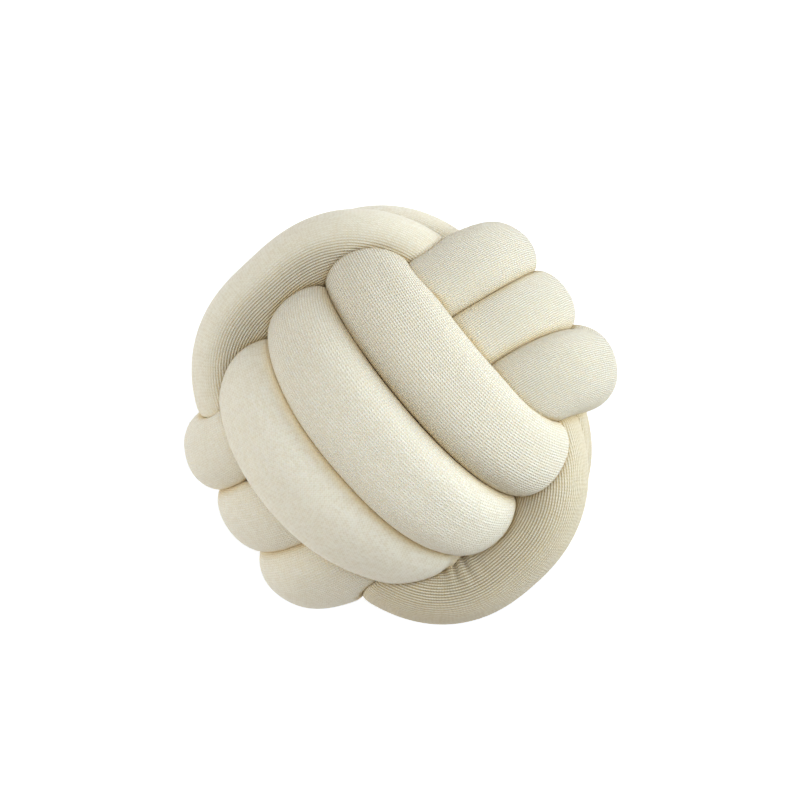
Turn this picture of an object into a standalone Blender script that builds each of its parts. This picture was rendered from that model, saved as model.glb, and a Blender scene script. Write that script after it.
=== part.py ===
"""Knot cushion: a ball about 30 cm across, tied as a monkey's fist from one stuffed, knitted tube.

The tube goes round the ball nine times, in three groups of three turns. Each group is an oval that
is long one way, short the next and three tubes deep the third way, and the groups take the three
directions in a ring, so that each one passes over the next group and under the one before it:

    group   long way   short way   the three turns lie side by side along
    face    Z          X           Y    (its tips are the three bars on top)
    ring    X          Y           Z
    cross   Y          Z           X

Metres, +Z up. The ball rests on its back, on a small flat spot where its weight presses the lowest
bar, and the middle of its box stands on the origin.
"""

import math
from collections import namedtuple

import bmesh
import bpy
from mathutils import Matrix, Vector

MM = 0.001

# ---------------------------------------------------------------- driving sizes
SQUARENESS = 2.6  # of the ovals: 2 is an ellipse, more is closer to a rounded box
CORE_RADIUS = 78 * MM  # what the hidden parts of the tube fill, squeezed together inside the ball
FLAT_SPOT_HEIGHT = -136 * MM  # the level, from the middle of the ball, at which it rests
BALL_MIDDLE = Vector((0, 2 * MM, -FLAT_SPOT_HEIGHT))  # its place above the origin

LENGTH_STEPS = 72  # sections along a turn
ROUND_STEPS = 24  # corners of a section
SKIN_GRID = 4 * MM  # the grid on which the turns become one skin
SMOOTHING = 6  # passes that take the grid's steps off the skin
TRIANGLES = 9000

CREAM = (0.80, 0.76, 0.66, 1)

# ---------------------------------------------------------------- the nine turns, in millimetres
# A turn's tips are the two ends of its long way and its sides the two ends of its short way. Each
# column is a pair: toward the first tip or side (top, +X, +Y), then toward the second.
#   reach    from the middle of the ball to the tube's centre at the tips
#   side     the same at the sides
#   at_tip   place in the row of three at the tips, and at_side at the sides
#   lean     how far a tip sits to one side, along the short way
#   bow      how far the corners beside a tip bend along the row of three
#   swell    how far those corners stand out beyond the oval
#   girth    radius of the tube on that half
Turn = namedtuple("Turn", "group reach side at_tip at_side lean bow swell girth")
TURNS = (
    Turn("face", (98, 98), (76, 87), (48, 52), (59, 50), (12, 0), (2, 0), (0, 0), (31, 31)),
    Turn("face", (110, 110), (81, 86), (-6, 0), (20, 15), (8, 0), (-3, 0), (1, 0), (31, 31)),
    Turn("face", (96, 98), (80, 78), (-58, -54), (-29, -42), (-3, 0), (3, 0), (0, 0), (33, 31)),
    Turn("ring", (116, 116), (81, 74), (51, 46), (48, 48), (-2, -3), (3, 2), (-2, 6), (27, 27)),
    Turn("ring", (107, 109), (86, 81), (0, -5), (-4, -4), (1, 2), (0, -3), (-3, 4), (28, 28)),
    Turn("ring", (114, 114), (81, 76), (-50, -54), (-52, -52), (0, 0), (-3, -2), (0, 4), (28, 28)),
    Turn("cross", (116, 103), (66, 66), (-34, -63), (-52, -52), (3, 6), (-4, 4), (0, 0), (29, 31)),
    Turn("cross", (112, 110), (69, 69), (9, -18), (1, 1), (1, 0), (-6, 11), (0, 2), (30, 34)),
    Turn("cross", (108, 115), (69, 69), (57, 31), (45, 45), (12, -6), (-10, 10), (6, -1), (29, 34)),
)


def pick(pair, toward_first):
    """The pair's value on one half of a turn."""
    return pair[0] if toward_first >= 0 else pair[1]


def in_place(group, short, long, across):
    """A point of a turn, from its own three ways to X, Y and Z."""
    if group == "face":
        return Vector((short, across, long))
    if group == "ring":
        return Vector((long, short, across))
    return Vector((across, long, short))


def centre(turn, angle):
    """The tube's centre at an angle round its turn: 0 at the first side, 90 degrees at the first tip."""
    c, s = math.cos(angle), math.sin(angle)
    near_side, near_tip, near_corner = c * c, s * s, math.sin(2 * angle) ** 2
    oval = (
        abs(c / pick(turn.side, c)) ** SQUARENESS + abs(s / pick(turn.reach, s)) ** SQUARENESS
    ) ** (-1 / SQUARENESS)
    out = oval + pick(turn.swell, s) * near_corner
    short = out * c + pick(turn.lean, s) * near_tip
    across = (
        pick(turn.at_tip, s) * near_tip
        + pick(turn.at_side, c) * near_side
        + pick(turn.bow, s) * near_corner
    )
    return in_place(turn.group, short, out * s, across) * MM


def radius(turn, angle):
    """The tube's radius there, easing from one half's girth to the other's."""
    first_half = (1 + math.tanh(3 * math.sin(angle))) / 2
    return (turn.girth[0] * first_half + turn.girth[1] * (1 - first_half)) * MM


def add_turn(bm, turn):
    """One turn as a closed ring of round sections, each square to the tube's centre line."""
    middle = in_place(turn.group, 0, 0, sum(turn.at_tip) / 2) * MM
    step = math.tau / LENGTH_STEPS
    sections = []
    for i in range(LENGTH_STEPS):
        here = centre(turn, i * step)
        along = (centre(turn, (i + 0.5) * step) - centre(turn, (i - 0.5) * step)).normalized()
        outward = here - middle
        outward = (outward - outward.dot(along) * along).normalized()
        sideways = along.cross(outward)
        size = radius(turn, i * step)
        section = []
        for j in range(ROUND_STEPS):
            turned = math.tau * j / ROUND_STEPS
            spoke = math.cos(turned) * outward + math.sin(turned) * sideways
            section.append(bm.verts.new(here + size * spoke))
        sections.append(section)
    for one, other in zip(sections, sections[1:] + sections[:1]):
        for j in range(ROUND_STEPS):
            k = (j + 1) % ROUND_STEPS
            bm.faces.new((one[j], other[j], other[k], one[k]))


def wound_turns():
    """All nine turns and the core, as one object whose pieces still run through each other."""
    bm = bmesh.new()
    for turn in TURNS:
        add_turn(bm, turn)
    bmesh.ops.create_icosphere(bm, subdivisions=4, radius=CORE_RADIUS)
    bmesh.ops.recalc_face_normals(bm, faces=bm.faces)
    mesh = bpy.data.meshes.new("wound_turns")
    bm.to_mesh(mesh)
    bm.free()
    wound = bpy.data.objects.new("wound_turns", mesh)
    bpy.context.scene.collection.objects.link(wound)
    return wound


def one_skin(wound):
    """The outer skin of the turns as a single closed mesh, with the creases between them kept."""
    join = wound.modifiers.new("join", "REMESH")
    join.mode = "VOXEL"
    join.voxel_size = SKIN_GRID
    ease = wound.modifiers.new("ease", "SMOOTH")
    ease.factor = 0.5
    ease.iterations = SMOOTHING
    graph = bpy.context.evaluated_depsgraph_get()
    skin = bpy.data.meshes.new_from_object(wound.evaluated_get(graph))
    bpy.data.objects.remove(wound)
    return skin


def keep_largest_piece(bm):
    """Drops the small closed skins that the remesh leaves round pockets inside the ball."""
    pieces = []
    unseen = set(bm.verts)
    while unseen:
        piece = set()
        edge_of_search = [unseen.pop()]
        while edge_of_search:
            vert = edge_of_search.pop()
            piece.add(vert)
            for edge in vert.link_edges:
                other = edge.other_vert(vert)
                if other in unseen:
                    unseen.remove(other)
                    edge_of_search.append(other)
        pieces.append(piece)
    pieces.sort(key=len)
    for piece in pieces[:-1]:
        bmesh.ops.delete(bm, geom=list(piece), context="VERTS")


def rest_on_flat_spot(bm):
    """Cuts the lowest bar level where the ball rests, and closes the cut with a flat face."""
    everything = bm.verts[:] + bm.edges[:] + bm.faces[:]
    cut = bmesh.ops.bisect_plane(
        bm, geom=everything, plane_co=(0, 0, FLAT_SPOT_HEIGHT), plane_no=(0, 0, -1), clear_outer=True
    )
    rim = [item for item in cut["geom_cut"] if isinstance(item, bmesh.types.BMEdge)]
    bmesh.ops.contextual_create(bm, geom=rim)


def cream_knit():
    """The tube's plain cream cotton knit."""
    material = bpy.data.materials.new("cream_knit")
    material.use_nodes = True
    shader = material.node_tree.nodes["Principled BSDF"]
    shader.inputs["Base Color"].default_value = CREAM
    shader.inputs["Roughness"].default_value = 0.9
    shader.inputs["Metallic"].default_value = 0
    return material


def build():
    for thing in list(bpy.data.objects):
        bpy.data.objects.remove(thing)
    skin = one_skin(wound_turns())
    bm = bmesh.new()
    bm.from_mesh(skin)
    keep_largest_piece(bm)
    bm.to_mesh(skin)
    bm.free()

    ball = bpy.data.objects.new("knot_cushion", skin)
    bpy.context.scene.collection.objects.link(ball)
    fewer = ball.modifiers.new("fewer", "DECIMATE")
    fewer.ratio = TRIANGLES / (2 * len(skin.polygons))
    graph = bpy.context.evaluated_depsgraph_get()
    light = bpy.data.meshes.new_from_object(ball.evaluated_get(graph))
    ball.modifiers.clear()

    bm = bmesh.new()
    bm.from_mesh(light)
    rest_on_flat_spot(bm)
    bmesh.ops.triangulate(bm, faces=bm.faces)
    bmesh.ops.transform(bm, matrix=Matrix.Translation(BALL_MIDDLE), verts=bm.verts)
    bm.to_mesh(light)
    bm.free()
    light.materials.clear()
    light.materials.append(cream_knit())
    ball.data = light


build()
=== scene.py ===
# %% [markdown]
# # A knot cushion, tied from one stuffed tube
#
# This cushion is a ball about 29 cm across. Its maker sews one long tube of cotton rib knit, stuffs
# it with fibre and ties it as a monkey's fist: three groups of three turns, each group passing over
# the one before it and under the one after it. The ends are tucked inside, so all that shows is tube.
#
# The lesson builds it the same way: a route, one tube that follows it, turns that press on each
# other where they meet, and a knit that runs along the tube. First comes the plain solid model,
# which the finished ball replaces, and its box, which the ball has to fit.

# %% Load the plain model
import math
from collections import defaultdict, namedtuple

import bpy
from mathutils import Matrix, Vector


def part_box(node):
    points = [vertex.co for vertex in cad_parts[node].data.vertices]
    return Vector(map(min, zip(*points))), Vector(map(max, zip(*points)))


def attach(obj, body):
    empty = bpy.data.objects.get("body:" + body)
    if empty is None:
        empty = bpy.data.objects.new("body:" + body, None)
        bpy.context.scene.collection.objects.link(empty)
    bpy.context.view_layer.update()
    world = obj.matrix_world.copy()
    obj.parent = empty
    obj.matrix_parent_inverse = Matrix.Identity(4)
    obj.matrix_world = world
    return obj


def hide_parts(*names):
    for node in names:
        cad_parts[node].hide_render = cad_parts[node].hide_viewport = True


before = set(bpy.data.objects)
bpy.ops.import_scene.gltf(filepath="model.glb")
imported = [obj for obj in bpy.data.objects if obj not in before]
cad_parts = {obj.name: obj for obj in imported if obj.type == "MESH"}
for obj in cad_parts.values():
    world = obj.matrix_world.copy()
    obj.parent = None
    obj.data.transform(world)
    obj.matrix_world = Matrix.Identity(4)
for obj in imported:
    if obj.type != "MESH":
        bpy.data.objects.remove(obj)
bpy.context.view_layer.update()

cad_low, cad_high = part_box("knot_cushion")
MM = 0.001
print("plain model, mm:", [round((high - low) / MM, 1) for low, high in zip(cad_low, cad_high)])

# %% [markdown]
# ## The nine turns
#
# Each turn is an oval: long one way, short the next, with its place in a row of three the third way.
# The face group is long along Z and short along X. The ring group is long along X and short along Y,
# and the cross group long along Y and short along Z. Each group's short way is the next one's long
# way, which is what makes each pass under one neighbour and over the other.
#
# A real knot is pulled tight by hand, so no two turns are quite alike. A nine-row table holds that,
# and one formula turns a row into a curve. A pair in it holds the value toward the turn's first tip
# or side (top, +X or +Y) and then toward the second, in millimetres.
#
# The numbers in this table were not chosen by hand. Fitting programs found most of them, and they
# were rounded to whole millimetres. A table worked out by hand, from the tube's thickness and the
# three rows, would be easier to read and to change.
#
# - reach and side: from the ball's middle to the tube's centre, at the tips and at the sides
# - at_tip and at_side: the turn's place in its row of three
# - lean: how far a tip sits to one side
# - bow and swell: how far the corners beside a tip bend along the row, and stand out of the oval
# - girth: the tube's radius on that half

# %% The table of turns
SQUARENESS = 2.6  # 2 makes the ovals ellipses, and more squares them up
GIRTH_CHANGE = 3  # how quickly the tube goes over from one half's girth to the other's

Turn = namedtuple("Turn", "group reach side at_tip at_side lean bow swell girth")
TURNS = (
    Turn("face", (99, 98), (75, 87), (48, 52), (59, 50), (13, 0), (2, 0), (0, 0), (31, 31)),
    Turn("face", (110, 110), (80, 86), (-4, 0), (20, 15), (9, 0), (-3, 0), (0, 0), (31, 31)),
    Turn("face", (94, 98), (80, 78), (-54, -54), (-29, -42), (-3, 0), (3, 0), (0, 0), (33, 31)),
    Turn("ring", (117, 115), (81, 74), (51, 46), (43, 48), (-4, -2), (3, 2), (-2, 6), (27, 27)),
    Turn("ring", (107, 110), (86, 81), (0, -5), (-4, -4), (1, 2), (0, -3), (-4, 5), (28, 29)),
    Turn("ring", (111, 114), (79, 76), (-50, -54), (-52, -52), (0, 0), (-3, -2), (-3, 4), (28, 28)),
    Turn("cross", (116, 103), (67, 66), (-33, -62), (-52, -52), (4, 6), (-4, 4), (1, 0), (28, 30)),
    Turn("cross", (112, 109), (69, 69), (9, -18), (1, 1), (2, 0), (-6, 11), (1, 2), (29, 33)),
    Turn("cross", (110, 116), (70, 69), (57, 31), (45, 45), (13, -6), (-10, 10), (7, -1), (28, 33)),
)
GROUPS = {name: [turn for turn in TURNS if turn.group == name] for name in ("face", "ring", "cross")}
BALL_MIDDLE = Vector((0, 2 * MM, 136 * MM))  # above the point the ball rests on


def pick(pair, toward_first):
    """The pair's value on one half of a turn."""
    return pair[0] if toward_first >= 0 else pair[1]


def in_place(group, short, long, across):
    """A point of a turn, from the group's own three ways to X, Y and Z."""
    if group == "face":
        return Vector((short, across, long))
    if group == "ring":
        return Vector((long, short, across))
    return Vector((across, long, short))


def oval_point(turn, angle):
    """The tube's centre on a turn: angle 0 is its first side, and 90 degrees its first tip."""
    c, s = math.cos(angle), math.sin(angle)
    near_side, near_tip, near_corner = c * c, s * s, math.sin(2 * angle) ** 2
    oval = (
        abs(c / pick(turn.side, c)) ** SQUARENESS + abs(s / pick(turn.reach, s)) ** SQUARENESS
    ) ** (-1 / SQUARENESS)
    out = oval + pick(turn.swell, s) * near_corner
    short = out * c + pick(turn.lean, s) * near_tip
    across = (
        pick(turn.at_tip, s) * near_tip
        + pick(turn.at_side, c) * near_side
        + pick(turn.bow, s) * near_corner
    )
    return in_place(turn.group, short, out * s, across) * MM


def oval_girth(turn, angle):
    """The tube's radius there, easing from one half's girth to the other's."""
    first_half = (1 + math.tanh(GIRTH_CHANGE * math.sin(angle))) / 2
    return (turn.girth[0] * first_half + turn.girth[1] * (1 - first_half)) * MM


print("turns:", len(TURNS), "in", len(GROUPS), "groups")

# %% [markdown]
# ## One route through all nine turns
#
# Nine closed ovals would look right, but the real cushion is one tube, so the route joins them. At
# each group's second side, which lies hidden beneath the next group, the tube slips across from one
# oval to its neighbour. After a group's last turn it bends through the inside of the ball to the
# first turn of the next group, and both of its ends stop in there.
#
# The hidden stretches could be any shape. Eased blends and Hermite curves keep them smooth, and a
# search by a program picked the middle and the pulls that keep those bends gentlest.

# %% Work out the route
STEP = math.radians(1.2)  # between points along a turn
SLIP = math.radians(35)  # either side of the hidden side, where one oval passes into the next
ENTRY = math.radians(30)  # from the hidden side, where a group's first and last turns go inside
INSIDE_GIRTH = 24 * MM  # the tube is squeezed thin in the middle of the ball
INSIDE_STEPS = 16  # points on half of a bend through the inside
TURN_PULL = 300 * MM  # how strongly a bend keeps a turn's direction where it leaves it
INSIDE_PULL = 200 * MM  # and its own direction in the middle of the ball
TAIL_PULL = 150 * MM  # and the tails' at both of their ends

# In the order short, long, across, by the ways of the group that the stretch comes from:
INSIDE_MIDDLE = (2, -17, 31)  # the place halfway along a bend, in millimetres
INSIDE_WAY = (0.9, 0.3, -0.3)  # and its direction there
FIRST_END = (8, 12, 4)  # where the tube's first end lies, in millimetres
FIRST_WAY = (-1, 0.3, 0.5)  # and the way that it sets off
LAST_END = (4, -10, -6)  # where its last end lies, in millimetres
LAST_WAY = (0.5, 0.6, -0.3)  # and the way that it arrives


def smooth(x):
    """0 to 1 with level ends."""
    x = min(max(x, 0), 1)
    return x * x * (3 - 2 * x)


def group_point(turns, angle):
    """A point and radius of a group's turns as one winding, whose angle runs on from 180 degrees."""
    turned = angle - math.pi
    last = len(turns) - 1
    here = min(int(turned // math.tau), last)
    into = turned - here * math.tau
    other, share = here, 0.0
    if into < SLIP and here > 0:
        other, share = here - 1, 1 - smooth(0.5 + into / (2 * SLIP))
    elif into > math.tau - SLIP and here < last:
        other, share = here + 1, smooth(0.5 - (math.tau - into) / (2 * SLIP))
    point = oval_point(turns[here], angle).lerp(oval_point(turns[other], angle), share)
    girth = oval_girth(turns[here], angle) * (1 - share) + oval_girth(turns[other], angle) * share
    return point, girth


def winding(turns):
    """The visible part of a group, turn by turn, from one way in to the other."""
    made = []
    for i in range(len(turns)):
        start = math.pi + math.tau * i + (ENTRY if i == 0 else 0)
        end = math.pi + math.tau * (i + 1) - (ENTRY if i == len(turns) - 1 else 0)
        steps = round((end - start) / STEP)
        made.append([group_point(turns, start + (end - start) * k / steps) for k in range(steps)])
    made[-1].append(group_point(turns, end))
    return made


def heading(one, other):
    """The direction from one route point to another."""
    return (other[0] - one[0]).normalized()


def bend(start, start_pull, end, end_pull):
    """The route points between two others along a Hermite curve that keeps both directions."""
    made = []
    for i in range(1, INSIDE_STEPS):
        t = i / INSIDE_STEPS
        point = (
            start[0] * (2 * t**3 - 3 * t**2 + 1)
            + start_pull * (t**3 - 2 * t**2 + t)
            + end[0] * (3 * t**2 - 2 * t**3)
            + end_pull * (t**3 - t**2)
        )
        made.append((point, start[1] + (end[1] - start[1]) * smooth(t)))
    return made


Stretch = namedtuple("Stretch", "points before after")  # with the groups at its two ends


def tube_stretches():
    """The tube's centre line as stretches, one for each turn, bend and tail: points and radii."""
    windings = [winding(turns) for turns in GROUPS.values()]
    begin = (in_place("face", *FIRST_END) * MM, INSIDE_GIRTH)
    start, second = windings[0][0][:2]
    way_out = in_place("face", *FIRST_WAY) * TAIL_PULL
    tail = [begin] + bend(begin, way_out, start, heading(start, second) * TAIL_PULL)
    made = [Stretch(tail, "face", "face")]
    for name, turns, after, following in zip(GROUPS, windings, list(GROUPS)[1:], windings[1:]):
        middle = (in_place(name, *INSIDE_MIDDLE) * MM, INSIDE_GIRTH)
        through = in_place(name, *INSIDE_WAY).normalized() * INSIDE_PULL
        before, end = turns[-1][-2:]
        start, second = following[0][:2]
        way_in = bend(end, heading(before, end) * TURN_PULL, middle, through)
        way_out = bend(middle, through, start, heading(start, second) * TURN_PULL)
        made += [Stretch(points, name, name) for points in turns]
        made.append(Stretch(way_in + [middle] + way_out, name, after))
    finish = (in_place("cross", *LAST_END) * MM, INSIDE_GIRTH)
    before, end = windings[-1][-1][-2:]
    way_in = in_place("cross", *LAST_WAY) * TAIL_PULL
    tail = bend(end, heading(before, end) * TAIL_PULL, finish, way_in) + [finish]
    made += [Stretch(points, "cross", "cross") for points in windings[-1]]
    return made + [Stretch(tail, "cross", "cross")]


stretches = tube_stretches()
route_points = [point + BALL_MIDDLE for stretch in stretches for point, _ in stretch.points]
route_length = sum((b - a).length for a, b in zip(route_points, route_points[1:]))
print("route:", len(route_points), "points in", len(stretches), "stretches,", round(route_length, 2), "m")

# %% [markdown]
# ## The view
#
# The ball lies on the floor and is seen from almost straight above, turned so that the face group
# runs from the upper left to the lower right. The camera is made before anything else is shaped,
# because every later choice is judged through it. Its tilt, lean and turn came out of the same fit
# as most of the table of turns.

# %% Set up the camera
VIEW_TILT = math.radians(10.2)  # how far the view leans from straight down toward +Y
VIEW_LEAN = math.radians(0.7)  # and toward +X
VIEW_TURN = math.radians(48.3)  # how far it is turned about its own line
VIEW_DISTANCE = 1.3
VIEW_LENS = 84.8  # in millimetres, on a sensor 36 mm wide
VIEW_SHIFT_X = -0.0014  # moves the picture's frame sideways, as a share of its width
VIEW_SHIFT_Y = 0.015  # and up, so that the ball sits a little below the middle

view_back = Vector(
    (
        math.sin(VIEW_LEAN),
        math.sin(VIEW_TILT) * math.cos(VIEW_LEAN),
        math.cos(VIEW_TILT) * math.cos(VIEW_LEAN),
    )
)
level_up = (Vector((0, 1, 0)) - view_back * view_back.y).normalized()
level_right = level_up.cross(view_back)
view_right = level_right * math.cos(VIEW_TURN) + level_up * math.sin(VIEW_TURN)
view_up = view_back.cross(view_right)

camera = bpy.data.objects.new("view", bpy.data.cameras.new("view"))
bpy.context.scene.collection.objects.link(camera)
bpy.context.scene.camera = camera
camera.data.lens = VIEW_LENS
camera.data.shift_x = VIEW_SHIFT_X
camera.data.shift_y = VIEW_SHIFT_Y
camera.matrix_world = Matrix.LocRotScale(
    BALL_MIDDLE + view_back * VIEW_DISTANCE,
    Matrix((view_right, view_up, view_back)).transposed().to_quaternion(),
    None,
)
print("camera at", [round(x, 2) for x in camera.matrix_world.translation])

# %% [markdown]
# ## A helper for node trees
#
# Geometry and materials are both built from nodes here. This helper keeps each node to one line: an
# input is given another node's output, which it links, or a plain value, which it sets.

# %% Make the helper
class Bench:
    """A place to add nodes to one tree."""

    def __init__(self, tree):
        self.tree = tree

    def add(self, kind, inputs=None, **settings):
        """A node with its settings made and its inputs, by name or number, linked or filled."""
        made = self.tree.nodes.new(kind)
        for name, value in settings.items():
            setattr(made, name, value)
        for key, value in (inputs or {}).items():
            self.fill(made.inputs[key], value)
        return made

    def fill(self, socket, value):
        if isinstance(value, bpy.types.NodeSocket):
            self.tree.links.new(value, socket)
        else:
            socket.default_value = value

    def math(self, operation, *values):
        return self.add("ShaderNodeMath", dict(enumerate(values)), operation=operation).outputs[0]

    def clamp(self, value):
        return self.add("ShaderNodeClamp", {"Value": value}).outputs[0]

    def ramp(self, value, start, end):
        """0 to 1 with level ends, as the value goes from start to end."""
        inputs = {"Value": value, "From Min": start, "From Max": end}
        return self.add("ShaderNodeMapRange", inputs, interpolation_type="SMOOTHSTEP").outputs[0]

    def vector(self, operation, *values):
        return self.add("ShaderNodeVectorMath", dict(enumerate(values)), operation=operation).outputs[0]

    def scaled(self, vector, scale):
        inputs = {"Vector": vector, "Scale": scale}
        return self.add("ShaderNodeVectorMath", inputs, operation="SCALE").outputs[0]

    def dot(self, one, other):
        inputs = {0: one, 1: other}
        return self.add("ShaderNodeVectorMath", inputs, operation="DOT_PRODUCT").outputs["Value"]

    def length(self, vector):
        return self.add("ShaderNodeVectorMath", {0: vector}, operation="LENGTH").outputs["Value"]

    def store(self, geometry, name, value, data_type="FLOAT", domain="POINT"):
        inputs = {"Geometry": geometry, "Name": name, "Value": value}
        return self.add(
            "GeometryNodeStoreNamedAttribute", inputs, data_type=data_type, domain=domain
        ).outputs[0]

    def named(self, name, data_type="FLOAT"):
        return self.add("GeometryNodeInputNamedAttribute", {"Name": name}, data_type=data_type).outputs[0]

    def named_vector(self, name):
        return self.named(name, "FLOAT_VECTOR")


# %% [markdown]
# ## The tube, stuffed and tied
#
# A stuffed knit tube is round where nothing touches it. Where two turns press together, both give way
# and share a flat wall that can't be seen, and beside that wall the knit bridges the corner a
# little, so the line between them is deep and thin instead of an open V.
#
# A cloth simulation could do this too, but not easily: the tube is over six metres long and touches
# itself nearly everywhere. A node tree does it in a few moves instead. It sweeps a sleeve along the
# route, with a stitch map that later carries the knit. It lets every point out along its own spoke
# until it meets another turn. It eases the knit, which can pull in but not push through the wall.
# Then it adds a few small folds and rests the ball on the floor.

# %% Sweep the sleeve
PROFILE = 10 * MM  # any radius does, because only the directions of its spokes are used
SEAM = 0.001 * MM  # points nearer than this are the two edges of one seam


def spoke_point(bench):
    """Where a point of the sleeve stands: its centre plus its spoke as long as its reach."""
    spoke = bench.scaled(bench.named_vector("spoke"), bench.named("reach"))
    return bench.vector("ADD", bench.named_vector("centre"), spoke)


def swept_sleeve(bench, route_lines, corners):
    """A thin sleeve along the route: each point knows its centre, its spoke and its stitch."""
    position = bench.add("GeometryNodeInputPosition").outputs[0]
    line = bench.add("GeometryNodeMeshToCurve", {"Mesh": route_lines}).outputs[0]
    spline = bench.add("GeometryNodeSplineParameter").outputs
    line = bench.store(line, "centre", position, "FLOAT_VECTOR")
    line = bench.store(line, "along", spline["Length"])
    whole_turn = {"Resolution": corners, "Radius": PROFILE, "Sweep Angle": math.tau}
    ring = bench.add("GeometryNodeCurveArc", whole_turn).outputs["Curve"]
    ring = bench.store(ring, "around", spline["Factor"])
    sleeve = bench.add("GeometryNodeCurveToMesh", {"Curve": line, "Profile Curve": ring}).outputs[0]
    rib = bench.math("MULTIPLY", bench.named("around"), bench.named("ribs"))
    stitch = bench.add("ShaderNodeCombineXYZ", {"X": bench.named("along"), "Y": rib})
    sleeve = bench.store(sleeve, "UVMap", stitch.outputs[0], "FLOAT2", "CORNER")
    outward = bench.vector("SUBTRACT", position, bench.named_vector("centre"))
    sleeve = bench.store(sleeve, "spoke", bench.vector("NORMALIZE", outward), "FLOAT_VECTOR")
    seam = {"Geometry": sleeve, "Distance": SEAM}
    return bench.add("GeometryNodeMergeByDistance", seam).outputs[0]


def rounded_ends(bench, length):
    """The tube's radius, rounded off to nothing at both ends of the route."""
    girth = bench.named("girth")
    along = bench.named("along")
    to_end = bench.math("MINIMUM", along, bench.math("SUBTRACT", length, along))
    short_of_full = bench.math("SUBTRACT", 1.0, bench.clamp(bench.math("DIVIDE", to_end, girth)))
    share = bench.math("SQRT", bench.math("SUBTRACT", 1.0, bench.math("POWER", short_of_full, 2.0)))
    return bench.math("MULTIPLY", girth, share)


# %% [markdown]
# Every stretch of the route has a number, so that a point can ask each other stretch how near it is,
# one in each round. Both tubes give way by the same amount, whatever their radii, because the tree
# compares how far the point is past each tube's own round form. The rounds run over all stretches
# several times, so that the points settle.
#
# A point also keeps how near the turn beside it came. That tells the knit later where a fold is.

# %% Press the turns together
EVEN_SHARE = 0.5  # each of two pressed turns gives way by this share of their overlap
FACING = 0.5  # a turn is beside a point if the cosine from its spoke to that turn is over this
FAR_APART = 1.0  # metres, for a point with no other turn beside it


def repeated(bench, geometry, times):
    """A repeat zone that carries one geometry. Returns its two ends."""
    first = bench.add("GeometryNodeRepeatInput")
    last = bench.add("GeometryNodeRepeatOutput")
    first.pair_with_output(last)
    bench.fill(first.inputs["Iterations"], times)
    bench.fill(first.inputs["Geometry"], geometry)
    return first, last


def nearest_on(bench, route_lines, stretch):
    """The nearest place on one stretch: where it is, how far away, and the tube's radius there."""
    search = {
        "Geometry": route_lines,
        "Group ID": bench.named("stretch", "INT"),
        "Sample Position": spoke_point(bench),
        "Sample Group ID": stretch,
    }
    near = bench.add("GeometryNodeProximity", search, target_element="EDGES").outputs
    place = {"Geometry": route_lines, "Sample Position": near["Position"]}
    index = bench.add("GeometryNodeSampleNearest", place).outputs[0]
    there = {"Geometry": route_lines, "Value": bench.named("girth"), "Index": index}
    girth = bench.add("GeometryNodeSampleIndex", there).outputs[0]
    return near["Position"], near["Distance"], girth


def pressed(bench, sleeve, route_lines, passes, stretches):
    """Draws each point back along its spoke until no other stretch of tube has a better claim to it."""
    sleeve = bench.store(sleeve, "apart", FAR_APART)
    rounds = bench.math("MULTIPLY", passes, stretches)
    first, last = repeated(bench, sleeve, rounds)
    asked = bench.math("MODULO", first.outputs["Iteration"], stretches)
    numbers_apart = bench.math("ABSOLUTE", bench.math("SUBTRACT", asked, bench.named("stretch", "INT")))
    is_other = bench.math("MINIMUM", numbers_apart, 1.0)
    place, distance, other_girth = nearest_on(bench, route_lines, asked)

    reach = bench.named("reach")
    past_own = bench.math("SUBTRACT", reach, bench.named("girth"))
    past_other = bench.math("SUBTRACT", distance, other_girth)
    too_far = bench.math("ADD", bench.math("SUBTRACT", past_own, past_other), bench.named("gap"))
    too_far = bench.math("MULTIPLY", bench.math("MAXIMUM", too_far, 0.0), is_other)
    kept = bench.math("SUBTRACT", reach, bench.math("MULTIPLY", too_far, EVEN_SHARE))

    way = bench.vector("NORMALIZE", bench.vector("SUBTRACT", place, bench.named_vector("centre")))
    facing = bench.dot(way, bench.named_vector("spoke"))
    beside = bench.math("MULTIPLY", bench.math("GREATER_THAN", facing, FACING), is_other)
    not_beside = bench.math("MULTIPLY", bench.math("SUBTRACT", 1.0, beside), FAR_APART)
    apart = bench.math("ADD", bench.math("SUBTRACT", past_other, past_own), not_beside)

    back = first.outputs["Geometry"]
    back = bench.store(back, "apart", bench.math("MINIMUM", bench.named("apart"), apart))
    back = bench.store(back, "reach", bench.math("MAXIMUM", kept, 0.0))
    bench.fill(last.inputs["Geometry"], back)
    return last.outputs["Geometry"]


# %% [markdown]
# Knit under tension takes the shortest way over a hollow. A blur along the mesh draws each point in
# toward its neighbours, and a spring fills it back out, so that mostly the sharp corners change.

# %% Ease the knit
def eased(bench, sleeve, passes, spring):
    """Lets the knit bridge the corners beside a wall. It can draw in, and the wall holds it."""
    sleeve = bench.store(sleeve, "wall", bench.named("reach"))
    first, last = repeated(bench, sleeve, passes)
    reach = bench.named("reach")
    drawn = bench.add("GeometryNodeBlurAttribute", {"Value": reach, "Iterations": 1}).outputs[0]
    filled = bench.math("MULTIPLY", bench.math("SUBTRACT", bench.named("full"), reach), spring)
    held = bench.math("MINIMUM", bench.math("ADD", drawn, filled), bench.named("wall"))
    back = bench.store(first.outputs["Geometry"], "reach", held)
    bench.fill(last.inputs["Geometry"], back)
    return last.outputs["Geometry"]


# %% [markdown]
# Stuffing is never quite even. A slow noise makes the tube a hair fatter here and thinner there, and
# a quicker one lets the line between two turns open and close. Both are read at the point's own
# place in the ball with a fixed seed, so they are the same each time. The tube isn't quite round
# either: squaring it a little makes broad bars on top, as a tightly drawn knot has.

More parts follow.
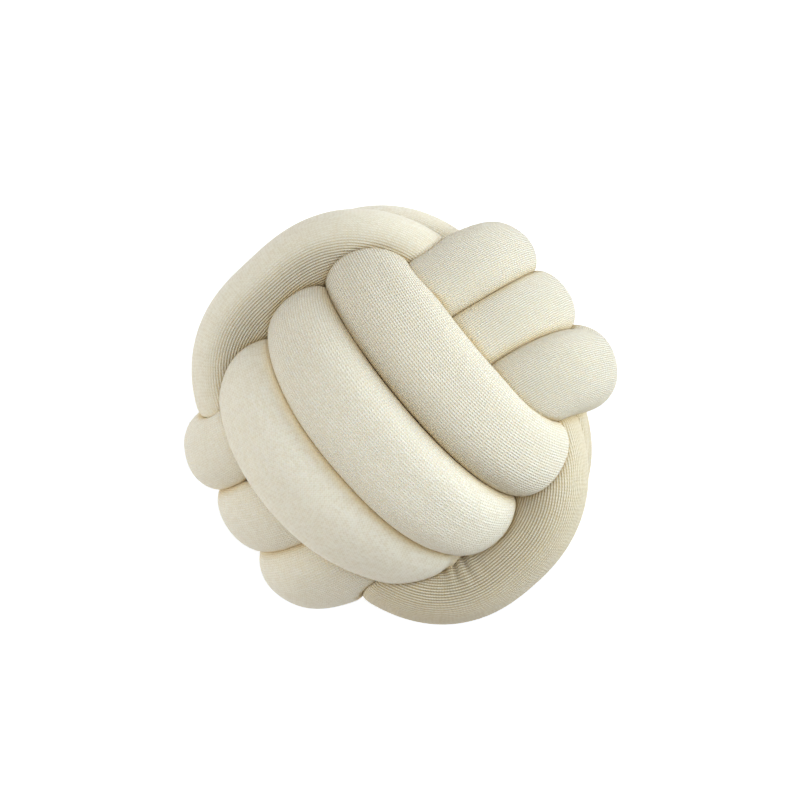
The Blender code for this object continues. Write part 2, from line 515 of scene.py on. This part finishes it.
# %% Stuff it unevenly
SIDE_TO_SIDE = 25 * MM  # about the tube's radius, so that its two sides read different noise
GAP_SWING = 1.6  # how much the gap differs from place to place, as a share of itself
NARROWEST_GAP = 0.1  # and the share of it that always stays


def slow_noise(bench, size, seed):
    """A noise of about -1 to 1 that changes over a given size, read at the point's place in the ball."""
    side = bench.scaled(bench.named_vector("spoke"), SIDE_TO_SIDE)
    inputs = {
        "Vector": bench.vector("ADD", bench.named_vector("centre"), side),
        "W": seed,
        "Scale": bench.math("DIVIDE", 1.0, size),
        "Detail": 0.0,
    }
    noise = bench.add("ShaderNodeTexNoise", inputs, noise_dimensions="4D").outputs[0]
    return bench.math("MULTIPLY", bench.math("SUBTRACT", noise, 0.5), 2.0)


def uneven_girth(bench, unevenness, size, seed):
    """The tube's radius, a hair more here and less there."""
    change = bench.math("MULTIPLY", slow_noise(bench, size, seed), unevenness)
    return bench.math("ADD", bench.named("girth"), change)


def uneven_gap(bench, size, seed):
    """The gap left between two pressed turns, wider here and narrower there."""
    change = bench.math("MULTIPLY", slow_noise(bench, size, seed), GAP_SWING)
    looser = bench.math("MAXIMUM", bench.math("ADD", 1.0, change), NARROWEST_GAP)
    return bench.math("MULTIPLY", bench.named("gap"), looser)


def drawn_tight(bench, middle, on_top, at_sides):
    """Squares the round tube a little, by more on the ball's top and underside than at its sides."""
    outward = bench.vector("NORMALIZE", bench.vector("SUBTRACT", bench.named_vector("centre"), middle))
    up = bench.math("ABSOLUTE", bench.dot(bench.named_vector("spoke"), outward))
    aside_squared = bench.math("SUBTRACT", 1.0, bench.math("POWER", up, 2.0))
    aside = bench.math("SQRT", bench.math("MAXIMUM", aside_squared, 0.0))
    upright = bench.math("POWER", bench.add("ShaderNodeSeparateXYZ", {0: outward}).outputs["Z"], 2.0)
    more = bench.math("MULTIPLY", bench.math("SUBTRACT", on_top, at_sides), upright)
    squareness = bench.math("ADD", at_sides, more)
    both = bench.math("ADD", bench.math("POWER", up, squareness), bench.math("POWER", aside, squareness))
    longer = bench.math("POWER", both, bench.math("DIVIDE", -1.0, squareness))
    return bench.math("MULTIPLY", bench.named("girth"), longer)


# %% [markdown]
# Knit shows how it is pulled. On the inside of a bend it gathers, and its ribs stand up. Between two
# turns it tucks away into a fold, and where a slack stretch is bent sharply it puckers in small folds
# across the tube. The first two are values that the material reads: the gathering deepens the bumped
# ribs and the painted shade in their valleys, and the tuck marks where the folds are painted darker and
# warmer, as shade. The puckers are real shape.

# %% Gather and pinch the knit, and find its folds for painted shade
GATHER_START = -0.9  # the cosine from a spoke to the ball's middle at which the knit starts to gather
GATHER_FULL = 0.15  # and the one from which it is fully gathered
DEEPEST_RELIEF = 2.0  # which the ribs never pass
RELIEF_EASE = 0.5  # how softly they come up to it
FOLD_LIFT = 0.5  # raises the wave of the puckers, so that they stand out more than they sink in


def rib_relief(bench, middle):
    """How deep the ribs are, and how much deeper on the inside of a bend."""
    inward = bench.vector("NORMALIZE", bench.vector("SUBTRACT", middle, bench.named_vector("centre")))
    facing = bench.dot(bench.named_vector("spoke"), inward)
    gathered = bench.ramp(facing, GATHER_START, GATHER_FULL)
    deeper = bench.math("MULTIPLY", bench.named("gathering"), gathered)
    relief = bench.math("ADD", bench.named("ribbing"), deeper)
    return bench.math("SMOOTH_MIN", relief, DEEPEST_RELIEF, RELIEF_EASE)


def tucked(bench, fold_width):
    """How deep in a fold a point is, for the folds' painted shade: 1 deep between two turns, and 0 where
    the next turn is a fold's width away or more.
    """
    open_share = bench.clamp(bench.math("DIVIDE", bench.named("apart"), fold_width))
    return bench.math("SUBTRACT", 1.0, open_share)


def pinched(bench, place, size, pitch, depth):
    """The reach with small folds across the tube, round one place on its skin."""
    away = bench.length(bench.vector("SUBTRACT", spoke_point(bench), place))
    near = bench.ramp(away, size, 0.0)
    turned = bench.math("MULTIPLY", bench.math("DIVIDE", bench.named("along"), pitch), math.tau)
    wave = bench.math("ADD", bench.math("SINE", turned), FOLD_LIFT)
    wave = bench.math("MULTIPLY", wave, bench.math("MULTIPLY", near, depth))
    return bench.math("ADD", bench.named("reach"), wave)


# %% [markdown]
# The ball's own weight flattens it where it rests. A soft maximum of height and floor does that, and
# rounds the edge of the flat spot.

# %% Set it on the floor
def rested(bench, tube, floor, softness):
    """Presses the underside flat where it meets the floor."""
    place = bench.add("ShaderNodeSeparateXYZ", {0: spoke_point(bench)}).outputs
    height = bench.math("SMOOTH_MAX", place["Z"], floor, softness)
    moved = bench.add("ShaderNodeCombineXYZ", {"X": place["X"], "Y": place["Y"], "Z": height})
    return bench.add("GeometryNodeSetPosition", {"Geometry": tube, "Position": moved.outputs[0]}).outputs[0]


# %% [markdown]
# The tree's inputs are its sizes, so the same tree could tie another tube along another route. Order
# matters: the tube is stuffed before it is pressed, and it is pressed before the knit is eased.

# %% Put the tree together
POLE = 0.01 * MM  # a radius below this is one of the tube's two closed ends
TUBE_INPUTS = (
    ("Route", "NodeSocketGeometry"),
    ("Corners", "NodeSocketInt"),
    ("Stretches", "NodeSocketInt"),
    ("Tube length", "NodeSocketFloat"),
    ("Press passes", "NodeSocketInt"),
    ("Ease passes", "NodeSocketInt"),
    ("Spring", "NodeSocketFloat"),
    ("Middle", "NodeSocketVector"),
    ("Squareness on top", "NodeSocketFloat"),
    ("Squareness at sides", "NodeSocketFloat"),
    ("Unevenness", "NodeSocketFloat"),
    ("Uneven size", "NodeSocketFloat"),
    ("Seed", "NodeSocketFloat"),
    ("Gap size", "NodeSocketFloat"),
    ("Fold width", "NodeSocketFloat"),
    ("Pinch place", "NodeSocketVector"),
    ("Pinch size", "NodeSocketFloat"),
    ("Pinch pitch", "NodeSocketFloat"),
    ("Pinch depth", "NodeSocketFloat"),
    ("Floor", "NodeSocketFloat"),
    ("Floor softness", "NodeSocketFloat"),
    ("Material", "NodeSocketMaterial"),
)


def closed_ends(bench, tube):
    """Draws each end's ring of points together into one pole."""
    at_an_end = bench.math("LESS_THAN", bench.named("girth"), POLE)
    merge = {"Geometry": tube, "Selection": at_an_end, "Distance": POLE}
    return bench.add("GeometryNodeMergeByDistance", merge).outputs[0]


def finished(bench, tube, material):
    """The tube shaded smooth, real and in its knit."""
    tube = bench.add("GeometryNodeSetShadeSmooth", {"Geometry": tube}).outputs[0]
    tube = bench.add("GeometryNodeRealizeInstances", {"Geometry": tube}).outputs[0]
    return bench.add("GeometryNodeSetMaterial", {"Geometry": tube, "Material": material}).outputs[0]


def stuffed_tube_tree():
    tree = bpy.data.node_groups.new("Stuffed tube", "GeometryNodeTree")
    for name, kind in TUBE_INPUTS:
        tree.interface.new_socket(name=name, in_out="INPUT", socket_type=kind)
    tree.interface.new_socket(name="Tube", in_out="OUTPUT", socket_type="NodeSocketGeometry")
    bench = Bench(tree)
    given = bench.add("NodeGroupInput").outputs
    lines, middle, seed = given["Route"], given["Middle"], given["Seed"]

    sleeve = swept_sleeve(bench, lines, given["Corners"])
    girth = uneven_girth(bench, given["Unevenness"], given["Uneven size"], seed)
    sleeve = bench.store(sleeve, "girth", girth)
    sleeve = bench.store(sleeve, "girth", rounded_ends(bench, given["Tube length"]))
    sleeve = bench.store(sleeve, "gap", uneven_gap(bench, given["Gap size"], seed))
    full = drawn_tight(bench, middle, given["Squareness on top"], given["Squareness at sides"])
    sleeve = bench.store(sleeve, "full", full)
    sleeve = bench.store(sleeve, "reach", full)
    sleeve = pressed(bench, sleeve, lines, given["Press passes"], given["Stretches"])
    sleeve = eased(bench, sleeve, given["Ease passes"], given["Spring"])
    sleeve = bench.store(sleeve, "relief", rib_relief(bench, middle))
    # the tuck marks the folds that the material paints darker and warmer, as shade
    sleeve = bench.store(sleeve, "tuck", tucked(bench, given["Fold width"]))
    pinch = (given["Pinch place"], given["Pinch size"], given["Pinch pitch"], given["Pinch depth"])
    sleeve = bench.store(sleeve, "reach", pinched(bench, *pinch))
    tube = rested(bench, sleeve, given["Floor"], given["Floor softness"])
    tube = closed_ends(bench, tube)
    bench.add("NodeGroupOutput", {"Tube": finished(bench, tube, given["Material"])})
    return tree


tube_tree = stuffed_tube_tree()
print("tree:", len(tube_tree.nodes), "nodes")

# %% [markdown]
# ## The knit
#
# The sleeve is cotton rib knit in cream. Its ribs run along the tube as fine rounded ridges between
# one and two millimetres apart, each one a column of V-shaped stitches. The yarn is matt and slightly
# hairy, no two loops stand out quite alike, and the valleys between the ribs look darker and warmer.
#
# At this size the ribs are bump, not mesh, and the shade in their valleys is painted into the colour. The
# stitch map gives the distance along the tube and the rib that a point is on, so the ribs follow every
# bend and close up where the tube is squeezed. A slow noise lets ribs and rows wander a little, because
# real ones are never ruled lines.

# %% Lay out the stitches
COURSE = 1.75 * MM  # one row of stitches along the tube
V_SLANT = 1.2  # rows by which a stitch's yarn slants, for each rib's width
WANDER_SIZE = 14 * MM  # over which ribs and rows wander off their straight lines
RIB_WANDER = 0.35  # by how many ribs
ROW_WANDER = 2.5  # and rows
UNEVEN_LOOP = 1.0  # how much a loop may differ from the usual one, as a share of its height


def stitch_places(bench):
    """The rib and the row that a point is on, and how far across its rib it is, from -0.5 to 0.5."""
    stitch_map = bench.add("ShaderNodeUVMap", uv_map="UVMap").outputs[0]
    stitch = bench.add("ShaderNodeSeparateXYZ", {0: stitch_map}).outputs
    place = bench.add("ShaderNodeTexCoord").outputs["Object"]
    inputs = {"Vector": place, "Scale": 1 / WANDER_SIZE, "Detail": 1.0}
    noise = bench.add("ShaderNodeTexNoise", inputs).outputs["Color"]
    wander = bench.add("ShaderNodeSeparateColor", {0: noise}).outputs
    rib = bench.math("ADD", stitch["Y"], bench.math("MULTIPLY", wander["Red"], RIB_WANDER))
    across = bench.math("SUBTRACT", bench.math("FRACT", rib), 0.5)
    slant = bench.math("MULTIPLY", bench.math("ABSOLUTE", across), V_SLANT)
    row = bench.math("ADD", bench.math("DIVIDE", stitch["X"], COURSE), slant)
    row = bench.math("ADD", row, bench.math("MULTIPLY", wander["Green"], ROW_WANDER))
    return rib, row, across


def own_chance(bench, rib, row):
    """How much the loop at a rib and a row differs from the rest."""
    loop = {"X": bench.math("FLOOR", row), "Y": bench.math("FLOOR", rib)}
    loop = bench.add("ShaderNodeCombineXYZ", loop).outputs[0]
    chance = bench.add("ShaderNodeTexWhiteNoise", {"Vector": loop}).outputs["Value"]
    return bench.math("MULTIPLY", bench.math("SUBTRACT", chance, 0.5), 2 * UNEVEN_LOOP)


print("stitches:", round(COURSE / MM, 2), "mm a row")

# %% [markdown]
# The material reads three values that the tube's points carry. The relief says how deep the ribs are
# there, and so how much painted shade lies in their valleys. The spread says how far the knit is pulled
# open, which flattens its loops and paints in more of the valley shade. The tuck says how deep in a fold
# a point is, and there the colour is painted darker and warmer, for the shade and for the light that has
# gone from wall to wall in there and picked up the yarn's warm colour.
#
# A cosine gives each rib its round back and each loop its bulge, and a chance for each loop keeps the
# rows from looking printed. A little subsurface and sheen make the surface soft.

# %% Mix the cream knit
RELIEF = 0.58 * MM  # from the foot of a valley to the top of a rib, where the relief is 1
LOOP = 0.30  # how far a loop of yarn stands out, as a share of that
LOOP_SPREAD = 0.8  # how fast the loops flatten as the ribs are pulled open
FULL_LOOP = 1.0  # the relief at which the loops stop growing with the ribs
VALLEY_SHARPNESS = 1.5  # more keeps the painted valley shade nearer to the foot of a valley
DARKEST_VALLEY = 1.1  # the relief at which the valleys stop getting darker
VALLEY_SHADE = 0.7  # how strongly the painted shade shows in the valleys and between loops

KNIT_LIGHT = (0.92, 0.845, 0.665, 1)
# painted shade: the colour that the valleys between the ribs and the gaps between loops are darkened toward
PAINTED_VALLEY_SHADE = (0.61, 0.45, 0.20, 1)
# painted shade: the colour multiplied into the creases between turns, darker and warmer, for their shade
# and the warm light bounced in them
PAINTED_FOLD_SHADE = (0.96, 0.88, 0.70)


def carried(bench, name):
    """A value that the tube's points carry."""
    return bench.add("ShaderNodeAttribute", attribute_name=name).outputs["Fac"]


def mixed(bench, share, one, other):
    made = bench.add("ShaderNodeMix", {0: share, 6: one, 7: other}, data_type="RGBA")
    return made.outputs[2]


def knit_height(bench, ridge, loop, chance, relief, flatter):
    """The ribs and the loops on them, as a share of the relief's full depth."""
    standing = bench.math("MULTIPLY", bench.math("ADD", loop, chance), LOOP)
    full_loop = bench.math("SQRT", bench.math("MINIMUM", relief, FULL_LOOP))
    standing = bench.math("MULTIPLY", standing, ridge)
    standing = bench.math("MULTIPLY", standing, bench.math("MULTIPLY", full_loop, flatter))
    return bench.math("ADD", bench.math("MULTIPLY", ridge, relief), standing)


def knit_shade(bench, ridge, loop, chance, relief, flatter, spread_and_shade):
    """How much painted shade shows: in the valleys between the ribs, between loops, and where pulled open.
    """
    valley = bench.math("POWER", bench.math("SUBTRACT", 1.0, ridge), VALLEY_SHARPNESS)
    valley = bench.math("MULTIPLY", valley, bench.math("MINIMUM", relief, DARKEST_VALLEY))
    between = bench.math("SUBTRACT", bench.math("SUBTRACT", 1.0, loop), chance)
    between = bench.math("MULTIPLY", bench.math("MULTIPLY", between, LOOP / 2), flatter)
    shade = bench.math("MULTIPLY", bench.math("ADD", valley, between), VALLEY_SHADE)
    return bench.clamp(bench.math("ADD", shade, spread_and_shade))


def knit_material(name):
    material = bpy.data.materials.new(name)
    material.use_nodes = True
    material.node_tree.nodes.clear()
    bench = Bench(material.node_tree)
    relief, spread_and_shade, tuck = (carried(bench, fact) for fact in ("relief", "spread_and_shade", "tuck"))
    rib, row, across = stitch_places(bench)
    ridge = bench.math("COSINE", bench.math("MULTIPLY", across, math.pi))
    loop = bench.math("COSINE", bench.math("MULTIPLY", row, math.tau))
    chance = own_chance(bench, rib, row)
    flatter = bench.clamp(bench.math("SUBTRACT", 1.0, bench.math("MULTIPLY", spread_and_shade, LOOP_SPREAD)))
    height = knit_height(bench, ridge, loop, chance, relief, flatter)
    bump = bench.add("ShaderNodeBump", {"Strength": 1.0, "Distance": RELIEF, "Height": height})
    shade = knit_shade(bench, ridge, loop, chance, relief, flatter, spread_and_shade)
    # painted shade: the knit darkened toward the valley shade colour in its valleys, between loops and
    # where pulled open
    colour = mixed(bench, shade, KNIT_LIGHT, PAINTED_VALLEY_SHADE)
    # painted shade: darker and warmer in the folds between turns
    colour = mixed(bench, tuck, colour, bench.vector("MULTIPLY", colour, PAINTED_FOLD_SHADE))
    cloth = bench.add(
        "ShaderNodeBsdfPrincipled",
        {
            "Base Color": colour,
            "Roughness": 0.9,
            "Specular IOR Level": 0.2,
            "Subsurface Weight": 0.15,
            "Subsurface Radius": (1.0, 0.75, 0.45),
            "Subsurface Scale": 2 * MM,
            "Sheen Weight": 0.2,
            "Sheen Roughness": 0.5,
            "Normal": bump.outputs[0],
        },
    )
    bench.add("ShaderNodeOutputMaterial", {"Surface": cloth.outputs[0]})
    return material


cream_knit = knit_material("cream_knit")
print("knit:", len(cream_knit.node_tree.nodes), "nodes")

# %% [markdown]
# ## Tie the ball
#
# The route becomes a plain line of points. Each carries the tube's radius there, the number of its
# stretch and how the knit lies: how many ribs go round the tube, how deep they are, how much deeper
# where the knit gathers, how far it is pulled open, with the painted shade that comes with that, and how
# wide a gap is left to the next turn. The three groups differ, because each is drawn tight in its own
# way, and within a group the knit is slacker toward one side of the ball, which deepens its ribs and the
# painted shade in their valleys. Along a bend inside, the values ease from group to group.

# %% Lay the route out
RIBS = {"face": 117, "ring": 94, "cross": 128}  # round the tube, in each group
GAPS = {"face": 0.3 * MM, "ring": 0.3 * MM, "cross": 0.02 * MM}  # left between two pressed turns
RIBBING = {"face": 0.41, "ring": 0.5, "cross": 0.6}  # how deep the ribs are
GATHERING = {"face": 0.0, "ring": 3.5, "cross": 0.0}  # and how much deeper inside a bend
SPREADING_AND_SHADE = {"face": 0.0, "ring": 0.18, "cross": 0.0}  # how far each group is pulled open: flatter loops and more painted valley shade
# A slacker side also gets more painted shade in its valleys, and in the ring group more of the spread's
# painted shade.
SLACK_SIDE = {  # per metre out of the middle, how much slacker and more ribbed a group is that way
    "face": Vector((-5, 16, 0)),
    "ring": Vector((7.5, 2, 0)),
    "cross": Vector((2, 5.7, 0)),
}
LEAST_SLACK = 0.1  # so that the ribs never quite go
SLACK_SPREAD = 0.7  # how much the spread, with its painted shade, follows the slackness


def knit_facts(group, out):
    """How the knit lies in a group at a place, given by its way out of the ball's middle."""
    slackness = max(1 + SLACK_SIDE[group].dot(out), LEAST_SLACK)
    return {
        "ribs": RIBS[group],
        "gap": GAPS[group],
        "ribbing": RIBBING[group] * slackness,
        "gathering": GATHERING[group],
        # painted shade: the spread darkens the ring turns toward the valley shade colour, more on their
        # slack side
        "spread_and_shade": SPREADING_AND_SHADE[group] * (1 + SLACK_SPREAD * (slackness - 1)),
    }


def route_object():
    """The route as a line of points, each with what the tree needs to know there."""
    mesh = bpy.data.meshes.new("route")
    mesh.from_pydata(route_points, [(i, i + 1) for i in range(len(route_points) - 1)], [])
    facts = defaultdict(list)
    for number, stretch in enumerate(stretches):
        for i, (out, girth) in enumerate(stretch.points):
            share = smooth(i / len(stretch.points))
            before, after = knit_facts(stretch.before, out), knit_facts(stretch.after, out)
            for name in before:
                facts[name].append(before[name] * (1 - share) + after[name] * share)
            facts["girth"].append(girth)
            facts["stretch"].append(number)
    for name, values in facts.items():
        kind = "INT" if name == "stretch" else "FLOAT"
        mesh.attributes.new(name, kind, "POINT").data.foreach_set("value", values)
    made = bpy.data.objects.new("knit_tube", mesh)
    bpy.context.scene.collection.objects.link(made)
    return made


knit_tube = route_object()
rib_widths = {group: math.tau * turns[0].girth[0] / RIBS[group] for group, turns in GROUPS.items()}
print("ribs, mm apart:", {group: round(width, 2) for group, width in rib_widths.items()})

# %% [markdown]
# The tree runs on that line as a modifier, and its result is kept as a plain mesh, so that the tube
# is one finished piece of its own. It is a padded piece, stuffed nearly full.

# %% Make the tube
PINCH_PLACE = BALL_MIDDLE + Vector((101, -26, 77)) * MM  # where a ring turn's slack knit bunches up


def plain_result(piece, tree, settings):
    """Runs a node tree on a piece and keeps what it makes as a plain mesh."""
    modifier = piece.modifiers.new(tree.name, "NODES")
    modifier.node_group = tree
    for item in tree.interface.items_tree:
        if item.in_out == "INPUT" and item.name in settings:
            modifier[item.identifier] = settings[item.name]
    seen = piece.evaluated_get(bpy.context.evaluated_depsgraph_get())
    piece.data = bpy.data.meshes.new_from_object(seen)
    piece.modifiers.remove(modifier)


TUBE_SETTINGS = {
    "Corners": 65,
    "Stretches": len(stretches),
    "Tube length": route_length,
    "Press passes": 10,
    "Ease passes": 40,
    "Spring": 0.4,
    "Middle": BALL_MIDDLE,
    "Squareness on top": 2.9,
    "Squareness at sides": 2.2,
    "Unevenness": 0.6 * MM,
    "Uneven size": 90 * MM,
    "Seed": 4.0,
    "Gap size": 30 * MM,
    "Fold width": 5 * MM,
    "Pinch place": PINCH_PLACE,
    "Pinch size": 20 * MM,
    "Pinch pitch": 10 * MM,
    "Pinch depth": 1.8 * MM,
    "Floor": 0.0,
    "Floor softness": 6 * MM,
    "Material": cream_knit,
}
plain_result(knit_tube, tube_tree, TUBE_SETTINGS)
knit_tube.data.name = "knit_tube"
print("tube:", len(knit_tube.data.vertices), "points,", len(knit_tube.data.polygons), "faces")

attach(knit_tube, "root")
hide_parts("knot_cushion")

# %% [markdown]
# ## Floor and light
#
# The ball lies on white paper that runs on far past it. The paper glows a little, so that it stays
# white under the ball too. Three soft, slightly cool lights shape the turns: a large one
# overhead, one low from the right and a weaker one low from the left. A weak warm surround fills the
# creases, so that they stay cream instead of going grey.

# %% Set the stage
FLOOR_HALF = 40.0  # metres, so that its edge is no more than a far horizon
FLOOR_GLOW = 0.42
LIGHT_DISTANCE = 1.6


def make_floor():
    mesh = bpy.data.meshes.new("floor")
    low, high = -FLOOR_HALF, FLOOR_HALF
    mesh.from_pydata([(low, low, 0), (high, low, 0), (high, high, 0), (low, high, 0)], [], [(0, 1, 2, 3)])
    paper = bpy.data.materials.new("paper")
    paper.use_nodes = True
    surface = paper.node_tree.nodes["Principled BSDF"].inputs
    surface["Base Color"].default_value = (0.9, 0.9, 0.9, 1)
    surface["Roughness"].default_value = 0.9
    surface["Specular IOR Level"].default_value = 0.0
    surface["Emission Color"].default_value = (1, 1, 1, 1)
    surface["Emission Strength"].default_value = FLOOR_GLOW
    mesh.materials.append(paper)
    made = bpy.data.objects.new("floor", mesh)
    bpy.context.scene.collection.objects.link(made)


def seen_from(right, up, back):
    """A direction given by how it looks through the camera."""
    return view_right * right + view_up * up + view_back * back


def soft_light(name, direction, size, power, colour):
    """A square area light that shines on the ball from a direction."""
    lamp = bpy.data.lights.new(name, "AREA")
    lamp.size = size
    lamp.energy = power
    lamp.color = colour
    made = bpy.data.objects.new(name, lamp)
    bpy.context.scene.collection.objects.link(made)
    place = BALL_MIDDLE + direction.normalized() * LIGHT_DISTANCE
    made.location = place
    made.rotation_euler = (BALL_MIDDLE - place).to_track_quat("-Z", "Y").to_euler()


make_floor()
soft_light("overhead", seen_from(-0.12, 0.30, 0.94), 1.4, 17.2, (0.77, 0.86, 1.0))
soft_light("right", seen_from(0.88, 0.16, 0.45), 1.2, 25.0, (0.73, 0.85, 1.0))
soft_light("left", seen_from(-0.86, -0.45, 0.25), 0.8, 9.5, (0.86, 0.92, 1.0))
surround = bpy.data.worlds.new("surround")
surround.use_nodes = True
surround.node_tree.nodes["Background"].inputs["Color"].default_value = (1.0, 0.87, 0.70, 1)
surround.node_tree.nodes["Background"].inputs["Strength"].default_value = 0.17
bpy.context.scene.world = surround
bpy.context.scene.view_settings.view_transform = "Standard"
